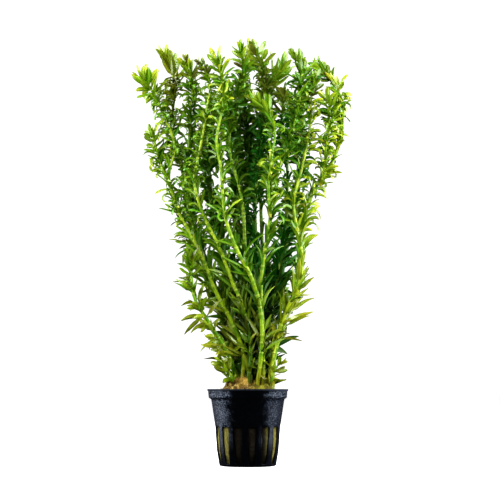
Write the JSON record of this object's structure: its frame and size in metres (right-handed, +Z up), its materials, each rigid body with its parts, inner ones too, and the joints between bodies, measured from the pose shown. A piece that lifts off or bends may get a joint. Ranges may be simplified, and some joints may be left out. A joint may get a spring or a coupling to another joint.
{
  "type": "potted elodea",
  "caption": "Bunch of leafy water plant shoots with whorled leaves, rooted in rock wool in a slotted round net pot.",
  "frame": {"origin": "centre of the flat underside of the pot", "axes": "+Z up along the pot's axis, +X to the right and -Y towards the viewer of the picture"},
  "size_m": [0.1533, 0.0818, 0.2999],
  "materials": {
    "pot": "black injection moulded plastic, fairly glossy, with a fine uneven skin",
    "rock_wool": "matted tan and olive mineral fibre, damp and dark in places",
    "shoots": "thin waxy leaf, lime at the stems and tips and deep green inside the bunch"
  },
  "bodies": {
    "root": {"pot": "pot", "rock_wool": "rock_wool", "shoot_01": "shoots", "shoot_02": "shoots", "shoot_03": "shoots", "shoot_04": "shoots", "shoot_05": "shoots", "shoot_06": "shoots", "shoot_07": "shoots", "shoot_08": "shoots", "shoot_09": "shoots", "shoot_10": "shoots", "shoot_11": "shoots", "shoot_12": "shoots", "shoot_13": "shoots", "shoot_14": "shoots", "shoot_15": "shoots", "shoot_16": "shoots", "low_shoot": "shoots", "side_shoot_left": "shoots", "side_shoot_middle": "shoots", "side_shoot_right": "shoots", "young_shoot_left": "shoots", "young_shoot_right": "shoots"}
  },
  "joints": []
}
